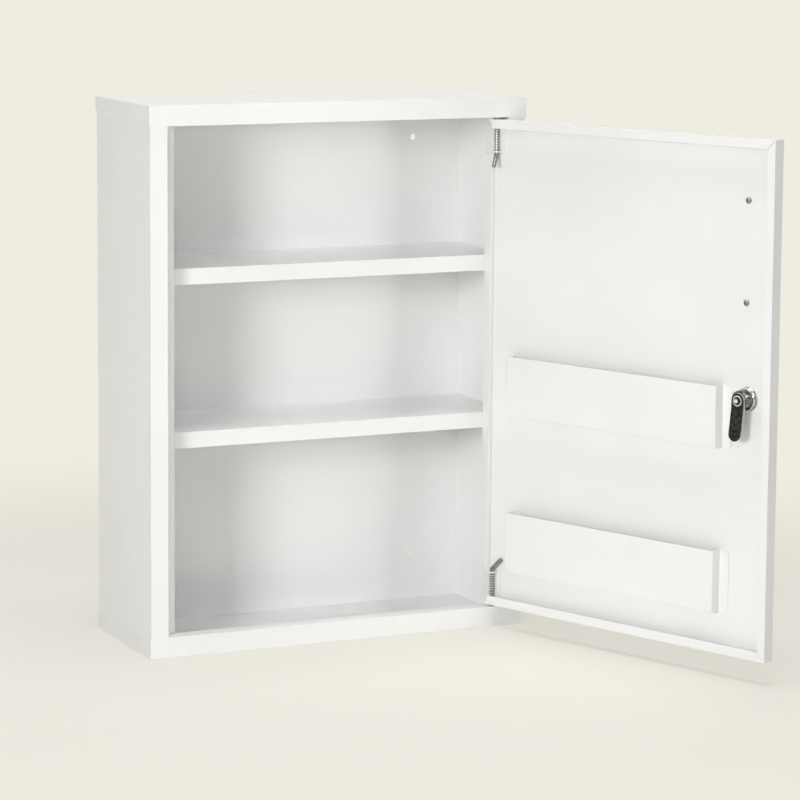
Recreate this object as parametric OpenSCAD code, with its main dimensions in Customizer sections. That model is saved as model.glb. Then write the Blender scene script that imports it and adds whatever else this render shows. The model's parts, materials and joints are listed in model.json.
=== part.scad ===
// Lockable steel cabinet for medicines: a folded sheet body with a cap at the top and one at the
// bottom, two fixed shelves, and one door that hangs on two sprung hinge pins.
// Millimetres. X runs to the right, Y to the back and Z up. The origin is the middle of the base.
// The door is drawn in its own frame and turned about the hinge pins to its opening angle.

/* [Cabinet] */
// Overall width
cab_w = 400; // [340:5:600]
// Overall depth of the body
cab_d = 150; // [120:5:300]
// Overall height
cab_h = 535; // [500:5:900]
// Thickness of the steel sheet
sheet = 1; // [0.8:0.1:1.4]

/* [Caps] */
// Height of a cap at the front
cap_front_h = 20; // [17:0.5:30]
// Height of a cap's skirt at the sides and the rear
cap_skirt_h = 14.3; // [8:0.1:16]

/* [Door frame] */
// Width of a front stile, from the side of the cabinet to the door opening
stile_w = 18.7; // [15:0.1:30]
// Width of the lip beside the opening that the door shuts against
stop_w = 11.8; // [9:0.1:16]
// Depth of the post's inner wall behind the stop lip
post_d = 14; // [12:0.5:25]
// Width of the flange at the rear of a side panel
rear_flange_w = 13; // [8:0.5:20]
// Gap between the stop lips and the caps
post_gap = 0.5; // [0.4:0.1:2]
// Gap between the caps' inner plates and the side panels
cap_fit = 0.2; // [0.1:0.05:0.5]

/* [Door] */
// Opening angle of the door as it stands
door_open = 111.2; // [60:0.1:118]
// Thickness of the door, from its face to its turned-in lips
door_t = 12.5; // [11.5:0.1:16]
// Gap at the top, the bottom and the free side of the shut door
door_gap = 2; // [1:0.1:4]
// How far the shut door's face lies behind the front of the caps
door_recess = 0.7; // [0:0.1:2]
// Gap between the shut door and the stop lips
stop_gap = 2; // [1.8:0.1:3]
// Width of the door's turned-in lip
door_lip_w = 9; // [6:0.5:14]
// Width of the open mitre at the lip's free corners
mitre_gap = 0.4; // [0.2:0.1:1]

/* [Hinges] */
// Depth of the pins' axis behind the door's face
pin_depth = 5.6; // [5:0.1:6.2]
// Diameter of a hinge pin
pin_d = 4.4; // [4:0.1:4.8]
// Running clearance round a pin, on the radius
pin_fit = 0.05; // [0.02:0.01:0.09]
// Gap between the door's hinge corner and the stop lip as the door swings
swing_gap = 0.47; // [0.3:0.01:0.8]
// Gap between the swinging hinge corner and the stile
hinge_side_gap = 2.17; // [1.5:0.01:4]
// How far a pin reaches past the cap's inner plate
pin_reach = 3.5; // [2:0.1:5]
// Thickness of a hinge bracket
bracket_t = 1.2; // [1:0.1:1.6]
// Length of a bracket's plate along the door
bracket_h = 31; // [26:0.5:45]
// Width of a bracket's plate
bracket_w = 13.8; // [12:0.1:20]
// Radius of the round end of a bracket's foot
bracket_r = 5.2; // [4:0.1:5.4]
// Distance from the door's end to the bracket
bracket_set = 2; // [1.5:0.1:5]
// How far the bent finger end of a pin reaches, outward and along the door
finger_reach = 11.5; // [8:0.1:12]
// Turn of the upper finger from the door's plane
top_finger_turn = -62.5; // [-66:0.5:-20]
// Turn of the lower finger from the door's plane
bottom_finger_turn = 8; // [-40:0.5:9]
// Diameter of the retaining clips
clip_d = 6.4; // [6:0.1:6.6]
// Thickness of the retaining clips
clip_t = 0.8; // [0.6:0.1:1.2]
// Distance from the door's end to the clip
clip_set = 5.2; // [4:0.1:8]

/* [Hinge springs] */
// Outer diameter of a spring
spring_d = 6.5; // [6.4:0.1:6.6]
// Diameter of the spring wire
spring_wire = 0.8; // [0.6:0.05:0.9]
// Distance from one curl to the next
spring_pitch = 2.5; // [1.8:0.1:4]

/* [Shelves] */
// Distance from the top of the cabinet to the upper shelf
top_space = 160; // [120:1:200]
// Distance from the upper shelf to the lower shelf
middle_space = 160; // [100:1:200]
// Height of a shelf's front lip
shelf_lip_h = 16; // [12:0.5:25]
// Depth of the hem turned in under the lip
shelf_hem = 6; // [3:0.5:12]
// Height of a shelf's side and rear flanges
shelf_flange_h = 11; // [6:0.5:20]
// Gap between a shelf and the posts
shelf_gap = 0.5; // [0.3:0.1:2]

/* [Wall holes] */
// Distance between the holes across the back
wall_pitch_x = 290; // [200:1:310]
// Distance between the holes up the back
wall_pitch_z = 436; // [300:1:440]
// Diameter of the wall holes
wall_hole_d = 6; // [4:0.5:10]
// Distance between the spot welds at the foot of the back
weld_pitch = 67.5; // [50:0.5:80]
// Diameter of a spot weld's dimple
weld_d = 4; // [3:0.5:6]

/* [Door pockets] */
// Height of a pocket
pocket_h = 59.7; // [30:0.1:90]
// Depth of a pocket in front of the door's skin
pocket_d = 12; // [8:0.1:12.5]
// Height of the upper pocket's floor above the base
upper_pocket_z = 218.2; // [160:0.1:300]
// Height of the lower pocket's floor above the base
lower_pocket_z = 60; // [50:0.1:65]
// Distance from the hinge pins to a pocket
pocket_hinge_side = 24; // [20:0.5:60]
// Distance from a pocket to the door's free edge
pocket_free_side = 63; // [60:0.5:90]
// Width of the flanges beside a pocket
pocket_flange = 10.6; // [8:0.1:12]
// Corner radius of the flanges
pocket_flange_r = 3; // [1:0.5:5]
// Gap between a pocket's floor and its sides
pocket_floor_gap = 1; // [0.5:0.1:3]

/* [Lock] */
// Distance from the door's free edge to the lock's axis
lock_inset = 34.1; // [32:0.1:36]
// Diameter of the lock's barrel
barrel_d = 18.8; // [17.6:0.1:19]
// How far the barrel reaches in from the pins' axis
barrel_in = 9; // [8.5:0.1:11]
// Width of the barrel across its flats
barrel_flats = 16.8; // [15:0.1:17]
// Diameter of the flange on the door's face
lock_flange_d = 23; // [22:0.5:28]
// Thickness of the flange
lock_flange_t = 2; // [1.5:0.1:3]
// Diameter of the washer on the door's inner side
lock_washer_d = 23.2; // [22:0.1:26]
// Thickness of the washer
lock_washer_t = 1; // [0.6:0.1:1.5]
// Diameter of the round nut
nut_d = 22; // [21.4:0.1:22.6]
// Thickness of the nut
nut_t = 4.6; // [2:0.1:5]
// Diameter of the lock's plug
plug_d = 11; // [10.4:0.1:12]
// Diameter of the plug's head
plug_head_d = 14; // [13:0.1:16]
// Thickness of the plug's head
plug_head_t = 1.2; // [0.8:0.1:2]
// Running clearance round the plug, on the radius
plug_fit = 0.08; // [0.03:0.01:0.09]
// Width of the square on the plug that turns the cam
plug_square = 7; // [6:0.1:7.2]
// Gap between the barrel and the pieces that turn at its ends
lock_play = 0.1; // [0.05:0.01:0.3]

/* [Cam] */
// Length of the cam from the lock's axis to its tip
cam_reach = 38; // [33:0.5:42]
// Width of the cam
cam_w = 14.6; // [12:0.1:16]
// Thickness of the cam
cam_t = 2.5; // [1.5:0.1:3]
// Lean of the cam's arm away from the door
cam_lean = 8.3; // [6:0.1:12]
// Distance from the lock's axis to the bend in the cam
cam_bend = 7; // [6:0.1:9]
// Room round the cam in the post's slot
cam_slot_room = 3; // [2:0.5:6]
// Margin between the cuts in a post and its folds
post_margin = 1.5; // [1:0.1:3]
// Diameter of the washer under the cam's screw
cam_washer_d = 10.4; // [10:0.1:12]
// Thickness of that washer
cam_washer_t = 0.6; // [0.5:0.1:1.5]
// Diameter of the cam screw's head
cam_head_d = 7; // [6.6:0.1:8]
// Height of the cam screw's head
cam_head_h = 1.8; // [1.6:0.1:3]
// Diameter of the cam screw's thread
cam_screw_d = 4; // [3:0.1:4.5]
// Length of the cam screw below its head
cam_screw_l = 6; // [4:0.5:7]

/* [Key] */
// Width of the key's blade
blade_w = 7.4; // [6:0.1:8]
// Thickness of the key's blade
blade_t = 2; // [1.6:0.1:2.4]
// Length of the blade inside the plug
blade_l = 12; // [10:0.5:13]
// Diameter of the key's bow
bow_d = 20; // [18:0.5:24]
// Diameter of the hole in the bow
bow_hole_d = 5; // [3:0.5:8]
// Length of the neck between the lock and the bow
key_neck = 4; // [3:0.5:8]
// Clearance round the blade in the keyway
key_fit = 0.1; // [0.06:0.02:0.3]

/* [Handle] */
// Distance from the door's free edge to the handle
handle_inset = 38; // [34:0.5:50]
// Distance from the lock's axis up to the handle's lower screw
handle_above_lock = 90.5; // [40:0.5:100]
// Distance between the handle's screws
handle_pitch = 96; // [64:1:128]
// How far the handle stands out from the door
handle_out = 26; // [20:0.5:32]
// Diameter of the handle's bar
handle_d = 8; // [7:0.5:10]
// Radius of the bar's bends, at its middle
handle_bend = 10; // [8:0.5:14]
// Diameter of the collars at the handle's feet
handle_foot_d = 12; // [11:0.5:16]
// Thickness of the collars
handle_foot_t = 2; // [1:0.5:3]
// Diameter of the handle screws
screw_d = 4; // [3:0.1:4.5]
// Length of the screws inside the handle
screw_l = 10; // [6:0.5:12]
// Diameter of the screws' heads
screw_head_d = 6.2; // [5.8:0.1:8]
// Height of the screws' heads
screw_head_h = 2.4; // [2:0.1:3]
// Clearance round the threads of screws, on the radius
thread_fit = 0.05; // [0.02:0.01:0.1]

/* [Hidden] */

$fn = 48;
// How far a cut runs past the face that it opens
over = 1;

white = [0.94, 0.93, 0.91];
chrome = [0.78, 0.79, 0.80];
zinc = [0.70, 0.72, 0.72];
dark = [0.13, 0.14, 0.14];

// The body inside the caps
wall_x = cab_w / 2 - sheet;
front_y = sheet - cab_d / 2;
rear_y = cab_d / 2 - sheet;
back_y = rear_y - 2 * sheet;
ceiling_z = cab_h - sheet;
mid_z = cab_h / 2;

// The frame of the door opening and its posts
stile_x = cab_w / 2 - stile_w;
stop_x = stile_x - stop_w;
stop_y = door_recess + door_t + stop_gap - cab_d / 2;
frame_rear_y = stop_y + sheet;
post_rear_y = stop_y + post_d;
post_z0 = cap_front_h + post_gap;
post_z1 = cab_h - post_z0;

// The door in its own frame: X runs from the pins to the free edge, Y outward and Z up
door_outer = pin_depth;
skin_in = door_outer - sheet;
door_inner = door_outer - door_t;
swing_r = stop_gap - door_inner - swing_gap;
hinge_edge = sqrt(swing_r * swing_r - pin_depth * pin_depth);
door_z0 = cap_front_h + door_gap;
door_z1 = cab_h - door_z0;
pin_x = stile_x - hinge_side_gap - swing_r;
pin_y = door_recess + pin_depth - cab_d / 2;
door_l = pin_x + stile_x - door_gap;
// The cut corner of the end flanges, and the step at the end of their lips
corner_x = 2.3 - hinge_edge;
corner_y = -1;
lip_step = 2.9;
lip_tip = 2.2;

// The upper hinge, in heights from the base
bracket_z1 = door_z1 - bracket_set;
bracket_z0 = bracket_z1 - bracket_h;
bracket_x = 0.8 - hinge_edge;
foot_top = bracket_z0 + bracket_t;
clip_z1 = door_z1 - clip_set;
clip_z0 = clip_z1 - clip_t;
groove_d = pin_d - 0.8;
groove_play = 0.1;
pin_top = cab_h - cap_front_h + sheet + pin_reach;
pin_chamfer = 0.6;
elbow_z = bracket_z0 - 2.5;
finger_l = finger_reach * sqrt(2) - pin_d / 2;
// Room above and below a hinge in the post's cut
hinge_room = 2;

// The springs: straight ends, a bend at each, and the curls between
curl_rings = 8;
bend_rings = 3;
wire_sides = 6;
spring_r = (spring_d - spring_wire) / 2;
spring_l = clip_z0 - foot_top;
slope = atan(spring_pitch / (2 * PI * spring_r));
bend_turn = 90 - slope;
bend_r = spring_wire;
bend_s = bend_r * (1 - cos(bend_turn));
bend_z = spring_wire + bend_r * sin(bend_turn);
curls = (spring_l - 2 * bend_z) / spring_pitch;
curls_s = curls * 2 * PI * spring_r;
wire_s = curls_s + 2 * bend_s;

// The lock, along its axis from the door's frame: outward is positive
lock_x = door_l - lock_inset;
lock_z = mid_z;
barrel_end = -barrel_in;
flange_face = door_outer + lock_flange_t;
cam_face = barrel_end - lock_play;
cam_back = cam_face - cam_t;
cam_washer_back = cam_back - cam_washer_t;
plug_front = flange_face + lock_play + plug_head_t;
edge_chamfer = 0.5;
bow_z = plug_front + key_neck + bow_d / 2;
// The post's slot takes the cam as it swings up into it
slot_reach = stop_x - (lock_x - pin_x);
slot_low = sqrt(cam_reach * cam_reach - slot_reach * slot_reach) + cam_slot_room;
slot_high = cam_w / 2 + cam_slot_room;

// The handle
handle_x = door_l - handle_inset;
handle_z = lock_z + handle_above_lock;
bar_y = door_outer + handle_out - handle_d / 2;
cross_w = 1.1;
cross_depth = 1.2;

// A box between two opposite corners
module slab(a, b) {
    translate(a)
        cube(b - a);
}

// Turns a bottom piece into its mirror image at the top, and back
module upside_down() {
    translate([0, 0, cab_h])
        mirror([0, 0, 1])
            children();
}

// From the door's frame to the cabinet's, at the opening angle
module on_door() {
    translate([pin_x, pin_y, 0])
        rotate([0, 0, 180 + door_open])
            children();
}

// From the lock's frame to the cabinet's: Z runs outward along the lock's axis and Y down
module on_lock() {
    on_door()
        translate([lock_x, 0, lock_z])
            rotate([-90, 0, 0])
                children();
}

// Places a piece at both handle screws: Z runs outward along each screw
module at_handle_screws() {
    for (z = [handle_z, handle_z + handle_pitch])
        translate([handle_x, 0, z])
            rotate([-90, 0, 0])
                children();
}

// A cylinder on Z between two heights
module rod(d, z0, z1) {
    translate([0, 0, z0])
        cylinder(d = d, h = z1 - z0);
}

// A cylinder on Z with its edge at z1 chamfered
module chamfered_rod(d, z0, z1, chamfer) {
    rod(d, z0, z1 - chamfer);
    translate([0, 0, z1 - chamfer])
        cylinder(d1 = d, d2 = d - 2 * chamfer, h = chamfer);
}

// A cross recess in a screw's head, opening at z = 0
module cross_recess(width) {
    slab([-width / 2, -cross_w / 2, -cross_depth], [width / 2, cross_w / 2, over]);
    slab([-cross_w / 2, -width / 2, -cross_depth], [cross_w / 2, width / 2, over]);
}

// A screw on Z: the head's underside is at z = 0 and the thread runs down from it
module pan_screw(thread_d, thread_l, head_d, head_h) {
    crown = head_h / 2;
    difference() {
        union() {
            rod(thread_d, -thread_l, head_h - crown);
            rod(head_d, 0, head_h - crown);
            translate([0, 0, head_h - crown])
                cylinder(d1 = head_d, d2 = head_d - 2 * crown, h = crown);
        }
        translate([0, 0, head_h])
            cross_recess(head_d / 2);
    }
}

// A hole for a hinge pin along Z, through the sheet between two heights
module pin_hole(z0, z1) {
    rod(pin_d + 2 * pin_fit, z0 - over, z1 + over);
}

// One folded cap, drawn as the bottom one
module cap() {
    half_w = cab_w / 2;
    half_d = cab_d / 2;
    inner_x = stile_x - cap_fit;
    difference() {
        union() {
            slab([-half_w, -half_d, 0], [half_w, half_d, sheet]);
            slab([-half_w, -half_d, 0], [half_w, front_y, cap_front_h]);
            slab([-half_w, rear_y, 0], [half_w, half_d, cap_skirt_h]);
            slab([-half_w, -half_d, 0], [-wall_x, half_d, cap_skirt_h]);
            slab([wall_x, -half_d, 0], [half_w, half_d, cap_skirt_h]);
            slab([-inner_x, -half_d, cap_front_h - sheet], [inner_x, frame_rear_y, cap_front_h]);
            slab([-inner_x, stop_y, 0], [inner_x, frame_rear_y, cap_front_h]);
        }
        translate([pin_x, pin_y, 0])
            pin_hole(cap_front_h - sheet, cap_front_h);
    }
}

module bottom_cap() {
    color(white)
        cap();
}

module top_cap() {
    color(white)
        upside_down()
            cap();
}

// The folded profile of a side panel, drawn as the right one
module side_profile() {
    wall_in = wall_x - sheet;
    slab([wall_in, front_y, sheet], [wall_x, rear_y, ceiling_z]);
    slab([stile_x, front_y, sheet], [wall_x, front_y + sheet, ceiling_z]);
    slab([stile_x, front_y, sheet], [stile_x + sheet, frame_rear_y, ceiling_z]);
    slab([stop_x, stop_y, post_z0], [stile_x + sheet, frame_rear_y, post_z1]);
    slab([stop_x, stop_y, post_z0], [stop_x + sheet, post_rear_y, post_z1]);
    slab([wall_x - rear_flange_w, rear_y - sheet, sheet], [wall_x, rear_y, ceiling_z]);
}

// A cut through the post's inner wall, behind the stop lip
module post_cut(z0, z1) {
    slab([stop_x - over, frame_rear_y, z0], [stop_x + sheet + over, post_rear_y - post_margin, z1]);
}

module right_side_panel() {
    color(white)
        difference() {
            side_profile();
            post_cut(bracket_z0 - hinge_room, post_z1 + over);
            upside_down()
                post_cut(bracket_z0 - hinge_room, post_z1 + over);
        }
}

module left_side_panel() {
    color(white)
        mirror([1, 0, 0])
            difference() {
                side_profile();
                post_cut(lock_z - slot_low, lock_z + slot_high);
            }
}

module back_panel() {
    half_w = wall_x - sheet;
    weld_depth = 0.3;
    color(white)
        difference() {
            slab([-half_w, back_y, sheet], [half_w, back_y + sheet, ceiling_z]);
            for (x = [-1, 1] * wall_pitch_x / 2, z = [-1, 1] * wall_pitch_z / 2)
                translate([x, back_y, mid_z + z])
                    rotate([-90, 0, 0])
                        rod(wall_hole_d, -over, sheet + over);
            for (x = [-1.5, -0.5, 0.5, 1.5])
                translate([x * weld_pitch, back_y, cap_skirt_h / 2])
                    rotate([-90, 0, 0])
                        rod(weld_d, -over, weld_depth);
        }
}

// One shelf behind the posts, with its upper face at z
module shelf(z) {
    side_x = wall_x - sheet;
    lip_y = post_rear_y + shelf_gap;
    hem_z = z - shelf_lip_h;
    flange_z = z - shelf_flange_h;
    slab([-side_x, lip_y, z - sheet], [side_x, back_y, z]);
    slab([-side_x, lip_y, hem_z], [side_x, lip_y + sheet, z]);
    slab([-side_x, lip_y, hem_z], [side_x, lip_y + shelf_hem, hem_z + sheet]);
    slab([-side_x, lip_y, flange_z], [sheet - side_x, back_y, z]);
    slab([side_x - sheet, lip_y, flange_z], [side_x, back_y, z]);
    slab([-side_x, back_y - sheet, flange_z], [side_x, back_y, z]);
}

module upper_shelf() {
    color(white)
        shelf(cab_h - top_space);
}

module lower_shelf() {
    color(white)
        shelf(cab_h - top_space - middle_space);
}

// The flange and the lip at the door's upper end
module door_end() {
    translate([0, 0, door_z1 - sheet])
        linear_extrude(sheet)
            polygon([
                [-hinge_edge, door_outer],
                [door_l, door_outer],
                [door_l, door_inner],
                [corner_x, door_inner],
                [-hinge_edge, corner_y]
            ]);
    translate([0, door_inner + sheet, door_z1])
        rotate([90, 0, 0])
            linear_extrude(sheet)
                polygon([
                    [corner_x, 0],
                    [door_l, 0],
                    [door_l, -door_lip_w],
                    [corner_x + lip_step, -door_lip_w],
                    [corner_x + lip_step, -lip_tip - sheet],
                    [corner_x, -lip_tip]
                ]);
}

// The open mitre where the upper lip meets the free side's lip, ending just short of the folds
module mitre() {
    mitre_l = (door_lip_w - 1.5 * sheet) * sqrt(2);
    translate([door_l - door_lip_w, door_inner, door_z1 - door_lip_w])
        rotate([0, -45, 0])
            slab([-over, -over, -mitre_gap / 2], [mitre_l, sheet + over, mitre_gap / 2]);
}

// The outline of the lock's barrel, round with two flats
module barrel_outline(room) {
    intersection() {
        circle(d = barrel_d + 2 * room);
        square([barrel_flats + 2 * room, barrel_d + 2 * over], center = true);
    }
}

module door_panel() {
    color(white)
        on_door()
            difference() {
                union() {
                    slab([-hinge_edge, skin_in, door_z0], [door_l, door_outer, door_z1]);
                    slab([door_l - sheet, door_inner, door_z0], [door_l, door_outer, door_z1]);
                    slab([door_l - door_lip_w, door_inner, door_z0],
                        [door_l, door_inner + sheet, door_z1]);
                    door_end();
                    upside_down()
                        door_end();
                }
                mitre();
                upside_down()
                    mitre();
                pin_hole(door_z1 - sheet, door_z1);
                pin_hole(door_z0, door_z0 + sheet);
                at_handle_screws()
                    rod(screw_d + 2 * thread_fit, skin_in - over, door_outer + over);
                translate([lock_x, skin_in - over, lock_z])
                    rotate([-90, 0, 0])
                        linear_extrude(sheet + 2 * over)
                            barrel_outline(thread_fit);
            }
}

// A strip from the origin along X with both far corners rounded
module rounded_strip(w, h, r) {
    square([w - r, h]);
    translate([0, r])
        square([w, h - 2 * r]);
    for (y = [r, h - r])
        translate([w - r, y])
            circle(r);
}

// A pocket on the inside of the door, open at the top, with its floor at z
module door_pocket(z) {
    x0 = pocket_hinge_side;
    x1 = door_l - pocket_free_side;
    front = skin_in - pocket_d;
    top = z + pocket_h;
    floor_in = sheet + pocket_floor_gap;
    slab([x0, front, z], [x1, front + sheet, top]);
    slab([x0, front, z], [x0 + sheet, skin_in, top]);
    slab([x1 - sheet, front, z], [x1, skin_in, top]);
    slab([x0 + floor_in, front, z], [x1 - floor_in, skin_in, z + sheet]);
    translate([x1 - sheet, skin_in, z])
        pocket_ear();
    translate([x0 + sheet, skin_in, z])
        mirror([1, 0, 0])
            pocket_ear();
}

module pocket_ear() {
    rotate([90, 0, 0])
        linear_extrude(sheet)
            rounded_strip(pocket_flange + sheet, pocket_h, pocket_flange_r);
}

module upper_door_pocket() {
    color(white)
        on_door()
            door_pocket(upper_pocket_z);
}

module lower_door_pocket() {
    color(white)
        on_door()
            door_pocket(lower_pocket_z);
}

// A bracket's foot: round at its end and cut off at the door's skin
module bracket_foot() {
    translate([-bracket_r, 0])
        square([2 * bracket_r, skin_in]);
    intersection() {
        circle(bracket_r);
        translate([-bracket_r - over, -bracket_r - over])
            square([2 * (bracket_r + over), bracket_r + over + skin_in]);
    }
}

// The angle under the door's upper end that guides the hinge pin
module hinge_bracket() {
    difference() {
        union() {
            slab([bracket_x, skin_in - bracket_t, bracket_z0],
                [bracket_x + bracket_w, skin_in, bracket_z1]);
            translate([0, 0, bracket_z0])
                linear_extrude(bracket_t)
                    bracket_foot();
        }
        pin_hole(bracket_z0, foot_top);
    }
}

module top_hinge_bracket() {
    color(white)
        on_door()
            hinge_bracket();
}

module bottom_hinge_bracket() {
    color(white)
        on_door()
            upside_down()
                hinge_bracket();
}

// The upper hinge pin, with its bent finger end turned from the door's plane
module hinge_pin(turn) {
    difference() {
        chamfered_rod(pin_d, elbow_z, pin_top, pin_chamfer);
        difference() {
            rod(pin_d + over, clip_z0 - groove_play, clip_z1);
            rod(groove_d, clip_z0 - over, clip_z1 + over);
        }
    }
    translate([0, 0, elbow_z])
        rotate([0, 135, turn]) {
            sphere(d = pin_d);
            rod(pin_d, 0, finger_l);
            translate([0, 0, finger_l])
                sphere(d = pin_d);
        }
}

module top_hinge_pin() {
    color(zinc)
        on_door()
            hinge_pin(top_finger_turn);
}

module bottom_hinge_pin() {
    color(zinc)
        on_door()
            upside_down()
                hinge_pin(bottom_finger_turn);
}

// The open ring in the upper pin's groove
module pin_clip() {
    mouth = groove_d * 0.8;
    difference() {
        rod(clip_d, clip_z0, clip_z1);
        rod(groove_d + 2 * pin_fit, clip_z0 - over, clip_z1 + over);
        slab([0, -mouth / 2, clip_z0 - over], [clip_d, mouth / 2, clip_z1 + over]);
    }
}

module top_pin_clip() {
    color(zinc)
        on_door()
            pin_clip();
}

module bottom_pin_clip() {
    color(zinc)
        on_door()
            upside_down()
                pin_clip();
}

// The wire's middle line, unrolled from the spring's cylinder: each entry holds the distance
// along the wire's run round the spring, the height above the foot and the rise of the wire
function wire_end() = concat(
    [[0, 0, 90]],
    [for (i = [0 : bend_rings])
        let (f = bend_turn * i / bend_rings)
        [bend_r * (1 - cos(f)), spring_wire + bend_r * sin(f), 90 - f]]
);

function wire_line(rings) =
    let (steps = ceil(curls * rings), foot = wire_end(), last = len(foot) - 1)
    concat(
        foot,
        [for (i = [1 : steps - 1])
            [bend_s + curls_s * i / steps, bend_z + (spring_l - 2 * bend_z) * i / steps, slope]],
        [for (i = [last : -1 : 0])
            [wire_s - foot[i][0], spring_l - foot[i][1], foot[i][2]]]
    );

// The angle round the spring, with the upper end opposite the clip's mouth
function wire_angle(s) = 180 + (s - wire_s) / spring_r * 180 / PI;

function wire_point(p) =
    let (a = wire_angle(p[0]))
    [spring_r * cos(a), spring_r * sin(a), p[1]];

function wire_ring(p) =
    let (
        a = wire_angle(p[0]),
        out = [cos(a), sin(a), 0],
        along = [-sin(a) * cos(p[2]), cos(a) * cos(p[2]), sin(p[2])],
        side = cross(along, out)
    )
    [for (k = [0 : wire_sides - 1])
        let (f = 360 * k / wire_sides)
        wire_point(p) + spring_wire / 2 * (cos(f) * out + sin(f) * side)];

// The spring as one tube from the bracket's foot to the clip
module hinge_spring() {
    line = wire_line(curl_rings);
    last = (len(line) - 1) * wire_sides;
    walls = [for (i = [0 : len(line) - 2], k = [0 : wire_sides - 1])
        let (a = i * wire_sides + k, b = i * wire_sides + (k + 1) % wire_sides)
        each [[a, a + wire_sides, b], [b, a + wire_sides, b + wire_sides]]];
    ends = [for (k = [1 : wire_sides - 2])
        each [[0, k, k + 1], [last, last + k + 1, last + k]]];
    translate([0, 0, foot_top])
        polyhedron([for (p = line) each wire_ring(p)], concat(walls, ends));
}

module top_hinge_spring() {
    color(zinc)
        on_door()
            hinge_spring();
}

module bottom_hinge_spring() {
    color(zinc)
        on_door()
            upside_down()
                hinge_spring();
}

// The least gap between one curl and the next, measured on points along the middle line
fine_rings = 32;
fine_line = [for (p = wire_line(fine_rings)) wire_point(p)];
least_gap = min([for (i = [0 : len(fine_line) - 1])
    for (j = [i + fine_rings / 2 : len(fine_line) - 1])
        norm(fine_line[i] - fine_line[j])]) - spring_wire;
echo(spring_least_gap = least_gap, spring_curls = curls);

module lock_housing() {
    color(chrome)
        on_lock()
            difference() {
                union() {
                    translate([0, 0, barrel_end])
                        linear_extrude(door_outer - barrel_end)
                            barrel_outline(0);
                    chamfered_rod(lock_flange_d, door_outer, flange_face, edge_chamfer);
                }
                rod(plug_d + 2 * plug_fit, barrel_end - over, flange_face + over);
            }
}

module lock_washer() {
    color(chrome)
        on_lock()
            difference() {
                rod(lock_washer_d, skin_in - lock_washer_t, skin_in);
                rod(barrel_d + 2 * thread_fit, skin_in - lock_washer_t - over, skin_in + over);
            }
}

module lock_nut() {
    face = skin_in - lock_washer_t;
    color(chrome)
        on_lock()
            difference() {
                mirror([0, 0, 1])
                    chamfered_rod(nut_d, -face, nut_t - face, edge_chamfer);
                rod(barrel_d + 2 * thread_fit, face - nut_t - over, face + over);
            }
}

module lock_plug() {
    keyway_w = blade_w + 2 * key_fit;
    keyway_t = blade_t + 2 * key_fit;
    keyway_z = plug_front - blade_l - 2 * key_fit;
    screw_end = cam_washer_back + cam_screw_l;
    color(chrome)
        on_lock()
            difference() {
                union() {
                    rod(plug_d, barrel_end, plug_front);
                    rod(plug_head_d, flange_face + lock_play, plug_front);
                    slab([-plug_square / 2, -plug_square / 2, cam_back],
                        [plug_square / 2, plug_square / 2, barrel_end]);
                }
                slab([-keyway_t / 2, -keyway_w / 2, keyway_z],
                    [keyway_t / 2, keyway_w / 2, plug_front + over]);
                rod(cam_screw_d + 2 * thread_fit, cam_back - over, screw_end + key_fit);
            }
}

// The cam seen along the lock's axis, with its square hole
module cam_outline() {
    difference() {
        union() {
            circle(d = cam_w);
            translate([-cam_w / 2, 0])
                square([cam_w, cam_reach - cam_w / 2]);
            translate([0, cam_reach - cam_w / 2])
                circle(d = cam_w);
        }
        square(plug_square + 2 * thread_fit, center = true);
    }
}

// The cam is its outline cut from a bent strip
module lock_cam() {
    tip = cam_reach + over;
    tip_z = cam_face - (tip - cam_bend) * tan(cam_lean);
    color(dark)
        on_lock()
            intersection() {
                translate([0, 0, cam_back - cam_reach])
                    linear_extrude(cam_reach + cam_t + over)
                        cam_outline();
                rotate([90, 0, 90])
                    linear_extrude(cam_w + 2 * over, center = true)
                        polygon([
                            [-cam_w, cam_face],
                            [cam_bend, cam_face],
                            [tip, tip_z],
                            [tip, tip_z - cam_t / cos(cam_lean)],
                            [cam_bend - cam_t * tan(cam_lean / 2), cam_back],
                            [-cam_w, cam_back]
                        ]);
            }
}

module cam_washer() {
    color(chrome)
        on_lock()
            difference() {
                rod(cam_washer_d, cam_washer_back, cam_back);
                rod(cam_screw_d + 2 * thread_fit, cam_washer_back - over, cam_back + over);
            }
}

module cam_screw() {
    color(chrome)
        on_lock()
            translate([0, 0, cam_washer_back])
                mirror([0, 0, 1])
                    pan_screw(cam_screw_d, cam_screw_l, cam_head_d, cam_head_h);
}

module key() {
    color(chrome)
        on_lock()
            difference() {
                union() {
                    slab([-blade_t / 2, -blade_w / 2, plug_front - blade_l],
                        [blade_t / 2, blade_w / 2, bow_z]);
                    translate([-blade_t / 2, 0, bow_z])
                        rotate([0, 90, 0])
                            cylinder(d = bow_d, h = blade_t);
                }
                translate([0, 0, bow_z + bow_d / 4])
                    rotate([0, 90, 0])
                        rod(bow_hole_d, -blade_t, blade_t);
            }
}

// The lower half of the handle: foot, bend and half of the bar
module half_handle() {
    translate([handle_x, bar_y, 0])
        rod(handle_d, handle_z + handle_bend, handle_z + handle_pitch / 2);
    translate([handle_x, bar_y - handle_bend, handle_z + handle_bend])
        rotate([90, 0, 90])
            rotate([0, 0, -90])
                rotate_extrude(angle = 90)
                    translate([handle_bend, 0])
                        circle(d = handle_d);
    translate([handle_x, 0, handle_z])
        rotate([-90, 0, 0]) {
            rod(handle_d, door_outer, bar_y - handle_bend);
            chamfered_rod(handle_foot_d, door_outer, door_outer + handle_foot_t, edge_chamfer);
        }
}

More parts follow.
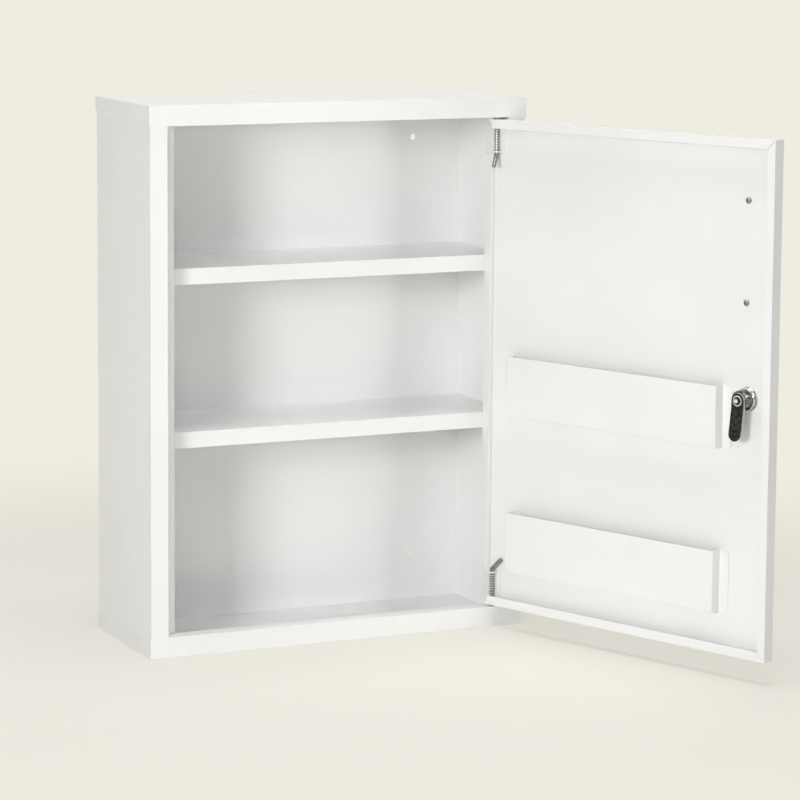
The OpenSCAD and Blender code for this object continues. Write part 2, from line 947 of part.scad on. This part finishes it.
module pull_handle() {
    color(chrome)
        on_door()
            difference() {
                union() {
                    half_handle();
                    translate([0, 0, 2 * handle_z + handle_pitch])
                        mirror([0, 0, 1])
                            half_handle();
                }
                at_handle_screws()
                    rod(screw_d + 2 * thread_fit, door_outer - over, door_outer + screw_l + key_fit);
            }
}

module handle_screws() {
    color(dark)
        on_door()
            at_handle_screws()
                translate([0, 0, skin_in])
                    mirror([0, 0, 1])
                        pan_screw(screw_d, sheet + screw_l, screw_head_d, screw_head_h);
}

left_side_panel();
right_side_panel();
back_panel();
top_cap();
bottom_cap();
upper_shelf();
lower_shelf();
door_panel();
upper_door_pocket();
lower_door_pocket();
top_hinge_bracket();
bottom_hinge_bracket();
top_hinge_pin();
bottom_hinge_pin();
top_pin_clip();
bottom_pin_clip();
top_hinge_spring();
bottom_hinge_spring();
lock_housing();
lock_washer();
lock_nut();
lock_plug();
lock_cam();
cam_washer();
cam_screw();
key();
pull_handle();
handle_screws();
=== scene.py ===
import json
import math

import bpy
from mathutils import Matrix, Vector

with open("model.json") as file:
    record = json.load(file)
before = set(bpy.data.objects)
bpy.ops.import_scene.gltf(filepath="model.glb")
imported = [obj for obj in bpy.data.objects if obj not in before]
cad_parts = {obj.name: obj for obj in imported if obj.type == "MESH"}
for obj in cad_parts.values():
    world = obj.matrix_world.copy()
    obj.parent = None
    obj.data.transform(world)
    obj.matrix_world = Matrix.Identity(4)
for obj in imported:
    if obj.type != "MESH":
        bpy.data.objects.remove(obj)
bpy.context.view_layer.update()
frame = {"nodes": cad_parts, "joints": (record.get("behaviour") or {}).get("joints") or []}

NODES = frame["nodes"]
JOINTS = {joint["name"]: joint for joint in frame["joints"]}

# Colours, linear
PAINT = (0.906, 0.913, 0.907)
CREAM = (0.868, 0.840, 0.756)
FLOOR = (0.87, 0.85, 0.79)
STUDIO = (0.10, 0.10, 0.10)
AMBIENT = (1.0, 0.985, 0.95)
# The share of its own colour that the floor shows the camera at the object, beside the light on it
FLOOR_GLOW = 0.6
# The floor fades into the backdrop between these distances from the object's middle, in metres
FLOOR_FADE = (0.3, 1.15)
# The strength of the room's light on the object, beside the lamps
AMBIENT_LIGHT = 0.02
# Reflections show the dim studio where their ray's y is under the first of these, and the pale
# backdrop where it is over the second
STUDIO_EDGE = (-0.75, -0.15)

# A point on the lock's axis, and the outward direction through the door, as it stands
LOCK_POINT = JOINTS["lock_turn"]["pos_m"]
OUTWARD = [-part for part in JOINTS["lock_turn"]["axis"]]
# The lock is grooved up to this far outward from that point, just under the door's skin, in metres
GROOVES_END = 0.0045
# The radius at which the rings and the painted highlight on the lock's inner end are complete, in
# metres
RINGS_AND_HIGHLIGHT_RADIUS = 0.006

# Points of a mesh that lie closer than this are one, in metres
WELD_DISTANCE = 0.00001
# The widths of rounded edges, in metres
SHEET_EDGE = 0.00035
LOCK_EDGE = 0.0002
SMALL_EDGE = 0.00012
PIN_EDGE = 0.0001


def new_material(name):
    """A new material, its nodes, its links and its shader."""
    mat = bpy.data.materials.new(name)
    mat.use_nodes = True
    nodes, links = mat.node_tree.nodes, mat.node_tree.links
    return mat, nodes, links, nodes["Principled BSDF"]


def connect(links, node, values):
    """Gives a node's inputs their values in order. Each is a number, a vector or a socket."""
    for socket, value in zip(node.inputs, values):
        if isinstance(value, bpy.types.NodeSocket):
            links.new(value, socket)
        else:
            socket.default_value = value


def calculate(nodes, links, operation, *values):
    node = nodes.new("ShaderNodeMath")
    node.operation = operation
    connect(links, node, values)
    return node.outputs[0]


def calculate_vector(nodes, links, operation, *values):
    """A vector, or one number where the operation is a dot product or a length."""
    node = nodes.new("ShaderNodeVectorMath")
    node.operation = operation
    connect(links, node, values)
    return node.outputs["Value" if operation in ("DOT_PRODUCT", "LENGTH") else "Vector"]


def coordinate(nodes, kind="Object"):
    return nodes.new("ShaderNodeTexCoord").outputs[kind]


def noise(nodes, links, scale, detail=2.0, roughness=0.5):
    tex = nodes.new("ShaderNodeTexNoise")
    tex.inputs["Scale"].default_value = scale
    tex.inputs["Detail"].default_value = detail
    tex.inputs["Roughness"].default_value = roughness
    links.new(coordinate(nodes), tex.inputs["Vector"])
    return tex.outputs["Fac"]


def ramp(nodes, links, source, low, high, start=0.35, end=0.65, curve="LINEAR"):
    """Runs from low to high as the source runs from start to end."""
    node = nodes.new("ShaderNodeMapRange")
    node.interpolation_type = curve
    node.inputs["From Min"].default_value = start
    node.inputs["From Max"].default_value = end
    node.inputs["To Min"].default_value = low
    node.inputs["To Max"].default_value = high
    links.new(source, node.inputs["Value"])
    return node.outputs["Result"]


def two_tone(nodes, links, factor, first, second):
    """Mixes two colours. The first may also be a socket."""
    mix = nodes.new("ShaderNodeMix")
    mix.data_type = "RGBA"
    if isinstance(first, bpy.types.NodeSocket):
        links.new(first, mix.inputs[6])
    else:
        mix.inputs[6].default_value = (*first, 1)
    mix.inputs[7].default_value = (*second, 1)
    links.new(factor, mix.inputs[0])
    return mix.outputs[2]


def bump(nodes, links, height, strength, distance, normal=None):
    """Relief on the surface, or on another relief's normal."""
    node = nodes.new("ShaderNodeBump")
    node.inputs["Strength"].default_value = strength
    node.inputs["Distance"].default_value = distance
    links.new(height, node.inputs["Height"])
    if normal is not None:
        links.new(normal, node.inputs["Normal"])
    return node.outputs["Normal"]


def painted_steel():
    """White powder coat: a fine orange peel, and a very slight unevenness of gloss and tone."""
    mat, nodes, links, bsdf = new_material("white_powder_coat")
    bsdf.inputs["IOR"].default_value = 1.5
    bsdf.inputs["Coat Weight"].default_value = 0.15
    bsdf.inputs["Coat Roughness"].default_value = 0.14
    broad = noise(nodes, links, scale=9, detail=3)
    darker, lighter = ([part * share for part in PAINT] for share in (0.985, 1.015))
    tone = two_tone(nodes, links, ramp(nodes, links, broad, low=0, high=1), darker, lighter)
    links.new(tone, bsdf.inputs["Base Color"])
    links.new(ramp(nodes, links, broad, low=0.21, high=0.26), bsdf.inputs["Roughness"])
    peel = noise(nodes, links, scale=900, detail=1)
    links.new(bump(nodes, links, peel, strength=0.12, distance=0.00012), bsdf.inputs["Normal"])
    return mat


def from_lock_point(nodes, links):
    return calculate_vector(nodes, links, "SUBTRACT", coordinate(nodes), LOCK_POINT)


def distance_from_lock_axis(nodes, links):
    place = from_lock_point(nodes, links)
    across = calculate_vector(nodes, links, "CROSS_PRODUCT", place, OUTWARD)
    return calculate_vector(nodes, links, "LENGTH", across)


def grooves(nodes, links, pitch):
    """The height of grooves round the lock's axis, on the door's inner side only."""
    place = from_lock_point(nodes, links)
    outward = calculate_vector(nodes, links, "DOT_PRODUCT", place, OUTWARD)
    wave = calculate(nodes, links, "PINGPONG", outward, pitch / 2)
    inside = calculate(nodes, links, "LESS_THAN", outward, GROOVES_END)
    return calculate(nodes, links, "MULTIPLY", wave, inside)


def metal(name, dark, light, gloss, patches, peel, peel_strength, pitch=None):
    """Plain or plated metal. dark and light are its patches' tones, gloss their roughnesses, patches
    and peel the scales of its broad and fine noise, and pitch that of grooves round the lock's axis."""
    mat, nodes, links, bsdf = new_material(name)
    bsdf.inputs["Metallic"].default_value = 1.0
    broad = noise(nodes, links, patches, detail=4)
    tone = two_tone(nodes, links, ramp(nodes, links, broad, low=0, high=1), dark, light)
    links.new(tone, bsdf.inputs["Base Color"])
    links.new(ramp(nodes, links, broad, *gloss), bsdf.inputs["Roughness"])
    normal = None
    if pitch:
        normal = bump(nodes, links, grooves(nodes, links, pitch), strength=1.0, distance=1.0)
    fine = noise(nodes, links, peel)
    relief = bump(nodes, links, fine, peel_strength, distance=0.0001, normal=normal)
    links.new(relief, bsdf.inputs["Normal"])
    return mat


def lock_end_painted_highlight_metal():
    """The cam's washer and screw: bright at the rim, with a dark ring within it and a painted highlight
    in the middle.
    """
    mat, nodes, links, bsdf = new_material("lock_end_steel_painted_highlight")
    bsdf.inputs["Metallic"].default_value = 1.0
    bands_and_painted_highlight = nodes.new("ShaderNodeValToRGB")
    radius = distance_from_lock_axis(nodes, links)
    links.new(calculate(nodes, links, "MULTIPLY", radius, 1 / RINGS_AND_HIGHLIGHT_RADIUS), bands_and_painted_highlight.inputs["Fac"])
    # The brightest stop, in the middle, is a painted highlight; the dark stops are the ring, and the
    # last two are the bright rim
    rings_and_painted_highlight = (
        (0.30, (0.93, 0.94, 0.93)),
        (0.36, (0.05, 0.05, 0.05)),
        (0.62, (0.07, 0.07, 0.07)),
        (0.70, (0.72, 0.72, 0.72)),
        (1.00, (0.66, 0.66, 0.66)),
    )
    stops = bands_and_painted_highlight.color_ramp.elements
    for index, (place, colour) in enumerate(rings_and_painted_highlight):
        stop = stops[index] if index < len(stops) else stops.new(place)
        stop.position, stop.color = place, (*colour, 1)
    links.new(bands_and_painted_highlight.outputs["Color"], bsdf.inputs["Base Color"])
    rough = noise(nodes, links, scale=500, detail=4)
    links.new(ramp(nodes, links, rough, low=0.10, high=0.26), bsdf.inputs["Roughness"])
    links.new(bump(nodes, links, rough, strength=0.35, distance=0.0002), bsdf.inputs["Normal"])
    return mat


def black_steel():
    """The cam's black finish, mottled as if rubbed, with its cut edges bright."""
    mat, nodes, links, bsdf = new_material("black_finish")
    bsdf.inputs["Metallic"].default_value = 0.8
    mottled = noise(nodes, links, scale=420, detail=4, roughness=0.6)
    rubbed = ramp(nodes, links, mottled, low=0, high=1, start=0.42, end=0.75)
    face = two_tone(nodes, links, rubbed, (0.012, 0.014, 0.014), (0.075, 0.08, 0.078))
    facing = calculate_vector(nodes, links, "DOT_PRODUCT", coordinate(nodes, "Normal"), OUTWARD)
    flat = calculate(nodes, links, "ABSOLUTE", facing)
    edge = ramp(nodes, links, flat, low=1, high=0, start=0.45, end=0.8)
    links.new(two_tone(nodes, links, edge, face, (0.62, 0.63, 0.62)), bsdf.inputs["Base Color"])
    links.new(ramp(nodes, links, mottled, low=0.26, high=0.46), bsdf.inputs["Roughness"])
    links.new(bump(nodes, links, mottled, strength=0.15, distance=0.0001), bsdf.inputs["Normal"])
    return mat


PAINT_MAT = painted_steel()
PIN_MAT = metal(
    "zinc_pin",
    dark=(0.22, 0.225, 0.225),
    light=(0.34, 0.345, 0.34),
    gloss=(0.30, 0.40),
    patches=260,
    peel=1500,
    peel_strength=0.1,
)
SPRING_MAT = metal(
    "spring_wire",
    dark=(0.84, 0.85, 0.84),
    light=(0.92, 0.92, 0.91),
    gloss=(0.46, 0.60),
    patches=260,
    peel=1500,
    peel_strength=0.1,
)
CHROME_MAT = metal(
    "chrome",
    dark=(0.64, 0.65, 0.65),
    light=(0.70, 0.70, 0.70),
    gloss=(0.06, 0.09),
    patches=70,
    peel=1600,
    peel_strength=0.015,
)
NUT_MAT = metal(
    "grooved_chrome",
    dark=(0.66, 0.67, 0.67),
    light=(0.80, 0.80, 0.80),
    gloss=(0.08, 0.16),
    patches=180,
    peel=2400,
    peel_strength=0.04,
    pitch=0.0022,
)
BARREL_MAT = metal(
    "threaded_chrome",
    dark=(0.06, 0.062, 0.062),
    light=(0.48, 0.48, 0.47),
    gloss=(0.06, 0.14),
    patches=230,
    peel=2400,
    peel_strength=0.06,
    pitch=0.0012,
)
SCREW_MAT = metal(
    "screw_steel",
    dark=(0.30, 0.30, 0.30),
    light=(0.42, 0.42, 0.41),
    gloss=(0.18, 0.30),
    patches=300,
    peel=1800,
    peel_strength=0.1,
)
LOCK_END_PAINTED_HIGHLIGHT_MAT = lock_end_painted_highlight_metal()
BLACK_MAT = black_steel()

WHITE_NODES = (
    "left_side_panel right_side_panel back_panel top_cap bottom_cap upper_shelf lower_shelf "
    "door_panel upper_door_pocket lower_door_pocket top_hinge_bracket bottom_hinge_bracket"
).split()
PIN_NODES = "top_hinge_pin bottom_hinge_pin top_pin_clip bottom_pin_clip".split()
SPRING_NODES = "top_hinge_spring bottom_hinge_spring".split()
CHROME_NODES = "lock_washer lock_plug key pull_handle".split()


def round_edges(obj, width):
    flat = obj.modifiers.new("whole_faces", "DECIMATE")
    flat.decimate_type = "DISSOLVE"
    flat.angle_limit = math.radians(0.5)
    bevel = obj.modifiers.new("edges", "BEVEL")
    bevel.width = width
    bevel.segments = 2
    bevel.limit_method = "ANGLE"
    bevel.angle_limit = math.radians(35)
    bevel.harden_normals = True
    bevel.miter_outer = "MITER_ARC"


def round_wire(obj):
    rounder = obj.modifiers.new("round_wire", "SUBSURF")
    rounder.levels = rounder.render_levels = 1


def dress(names, mat, edge=None):
    """Gives CAD nodes their material and rounded edges, or round wire where no edge is named."""
    for name in names:
        obj = NODES[name]
        obj.data.materials.clear()
        obj.data.materials.append(mat)
        weld = obj.modifiers.new("weld", "WELD")
        weld.merge_threshold = WELD_DISTANCE
        if edge:
            round_edges(obj, edge)
        else:
            round_wire(obj)


dress(WHITE_NODES, PAINT_MAT, SHEET_EDGE)
dress(PIN_NODES, PIN_MAT, PIN_EDGE)
dress(SPRING_NODES, SPRING_MAT)
dress(CHROME_NODES, CHROME_MAT, SMALL_EDGE)
dress(["lock_housing"], BARREL_MAT, LOCK_EDGE)
dress(["lock_nut"], NUT_MAT, LOCK_EDGE)
dress(["cam_washer", "cam_screw"], LOCK_END_PAINTED_HIGHLIGHT_MAT, LOCK_EDGE)
dress(["handle_screws"], SCREW_MAT, SMALL_EDGE)
dress(["lock_cam"], BLACK_MAT, SHEET_EDGE)


# The floor and the backdrop
def seen_ray(nodes, links):
    """1 for camera, glossy and transmission rays, and 0 for other light on the object."""
    path = nodes.new("ShaderNodeLightPath").outputs
    seen = calculate(nodes, links, "MAXIMUM", path["Is Camera Ray"], path["Is Glossy Ray"])
    return calculate(nodes, links, "MAXIMUM", seen, path["Is Transmission Ray"])


def mix_shaders(nodes, links, factor, first, second, out):
    mix = nodes.new("ShaderNodeMixShader")
    connect(links, mix, (factor, first.outputs[0], second.outputs[0]))
    links.new(mix.outputs[0], out.inputs["Surface"])


def make_floor():
    """A pale floor that keeps the object's shadow and fades into the backdrop."""
    bpy.ops.mesh.primitive_plane_add(size=40, location=(0, 0, -0.0003))
    floor = bpy.context.object
    floor.name = "floor"
    mat, nodes, links, _ = new_material("pale_floor")
    nodes.clear()
    out = nodes.new("ShaderNodeOutputMaterial")
    near = nodes.new("ShaderNodeBsdfDiffuse")
    near.inputs["Color"].default_value = (*FLOOR, 1)
    far = nodes.new("ShaderNodeEmission")
    far.inputs["Color"].default_value = (*CREAM, 1)
    distance = calculate_vector(nodes, links, "LENGTH", coordinate(nodes))
    fade = ramp(nodes, links, distance, FLOOR_GLOW, 1, *FLOOR_FADE, curve="SMOOTHERSTEP")
    seen = calculate(nodes, links, "MULTIPLY", fade, seen_ray(nodes, links))
    mix_shaders(nodes, links, seen, near, far, out)
    floor.data.materials.append(mat)


def make_world():
    """The room. The camera sees the pale backdrop on every side. Reflections show it behind and
    beside the cabinet, and a dimmer studio in front of it."""
    world = bpy.data.worlds.new("studio")
    bpy.context.scene.world = world
    world.use_nodes = True
    nodes, links = world.node_tree.nodes, world.node_tree.links
    nodes.clear()
    out = nodes.new("ShaderNodeOutputWorld")
    ambient = nodes.new("ShaderNodeBackground")
    ambient.inputs["Color"].default_value = (*AMBIENT, 1)
    ambient.inputs["Strength"].default_value = AMBIENT_LIGHT
    backdrop = nodes.new("ShaderNodeBackground")
    split = nodes.new("ShaderNodeSeparateXYZ")
    links.new(coordinate(nodes, "Generated"), split.inputs[0])
    front = ramp(nodes, links, split.outputs["Y"], 1, 0, *STUDIO_EDGE, curve="SMOOTHSTEP")
    camera_ray = nodes.new("ShaderNodeLightPath").outputs["Is Camera Ray"]
    unseen = calculate(nodes, links, "SUBTRACT", 1.0, camera_ray)
    dim = calculate(nodes, links, "MULTIPLY", front, unseen)
    links.new(two_tone(nodes, links, dim, CREAM, STUDIO), backdrop.inputs["Color"])
    mix_shaders(nodes, links, seen_ray(nodes, links), ambient, backdrop, out)


make_floor()
make_world()

# Each lamp's name, azimuth from the front (positive to the right), elevation, distance in metres,
# size in metres and power in watts
LAMPS = [
    ("key", -48, 10, 3.2, 0.7, 48),
    ("upper_fill", -22, 30, 3.2, 1.2, 14),
    ("compact", 22, 8, 3.6, 0.45, 15),
    ("top", 0, 88, 3.0, 1.6, 62),
]
# The point the lamps face, near the object's middle
AIM = Vector((0, 0, 0.27))


def make_lamp(name, azimuth, elevation, distance, size, power):
    lamp = bpy.data.lights.new(name, "AREA")
    lamp.size = size
    lamp.energy = power
    obj = bpy.data.objects.new(name, lamp)
    turn, rise = math.radians(azimuth), math.radians(elevation)
    level = distance * math.cos(rise)
    offset = Vector((level * math.sin(turn), -level * math.cos(turn), distance * math.sin(rise)))
    obj.location = AIM + offset
    obj.rotation_euler = (-offset).to_track_quat("-Z", "Y").to_euler()
    bpy.context.scene.collection.objects.link(obj)


for lamp in LAMPS:
    make_lamp(*lamp)

# The camera, fitted to the photograph: its focal length in pixels, its place in metres, its
# angles in degrees and its shift as a share of the picture
PICTURE_PX = 800
FOCAL_PX = 3240.8
SENSOR_MM = 36
CAMERA_PLACE = (-1.2812, -2.9418, 0.7455)
AZIMUTH, ELEVATION, ROLL = 24.406, -7.698, 0.325
SHIFT = (0.05, -0.10)


def make_camera():
    camera = bpy.data.cameras.new("camera")
    camera.sensor_width = SENSOR_MM
    camera.lens = FOCAL_PX * SENSOR_MM / PICTURE_PX
    camera.shift_x, camera.shift_y = SHIFT
    camera.clip_start, camera.clip_end = 0.05, 100
    obj = bpy.data.objects.new("camera", camera)
    obj.matrix_world = (
        Matrix.Translation(CAMERA_PLACE)
        @ Matrix.Rotation(math.radians(-AZIMUTH), 4, "Z")
        @ Matrix.Rotation(math.radians(90 + ELEVATION), 4, "X")
        @ Matrix.Rotation(math.radians(ROLL), 4, "Z")
    )
    bpy.context.scene.collection.objects.link(obj)
    bpy.context.scene.camera = obj


make_camera()
bpy.context.scene.view_settings.view_transform = "Standard"
